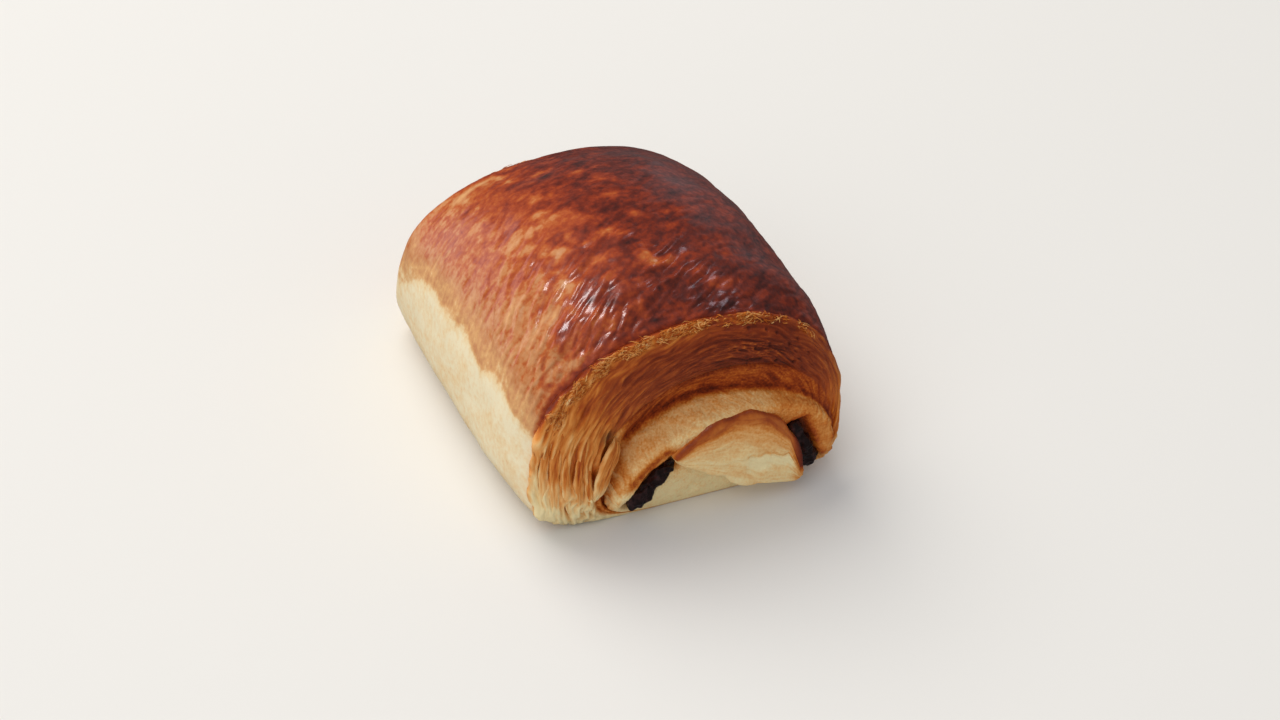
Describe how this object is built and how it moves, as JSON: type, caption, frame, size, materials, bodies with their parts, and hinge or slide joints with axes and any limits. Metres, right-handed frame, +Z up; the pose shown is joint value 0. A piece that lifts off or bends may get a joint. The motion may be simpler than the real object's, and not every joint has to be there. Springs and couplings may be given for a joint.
{
  "type": "pain au chocolat",
  "caption": "Plump glazed roll of laminated dough with two chocolate batons showing at both cut ends and a folded tongue of dough between them, flat on its base.",
  "frame": {"origin": "centre of the bounding box's underside, on the surface that the roll rests on", "axes": "+Z up; Y along the roll and its two batons, -Y towards the end shown in front; X across the roll, -X towards the pale side"},
  "size_m": [0.0818, 0.0928, 0.0559],
  "materials": {
    "baked_dough": "baked laminated dough, glazed with egg on top",
    "dark_chocolate": "softened dark chocolate"
  },
  "bodies": {
    "root": {"dough": "baked_dough", "chocolate_baton_left": "dark_chocolate", "chocolate_baton_right": "dark_chocolate"}
  },
  "joints": []
}
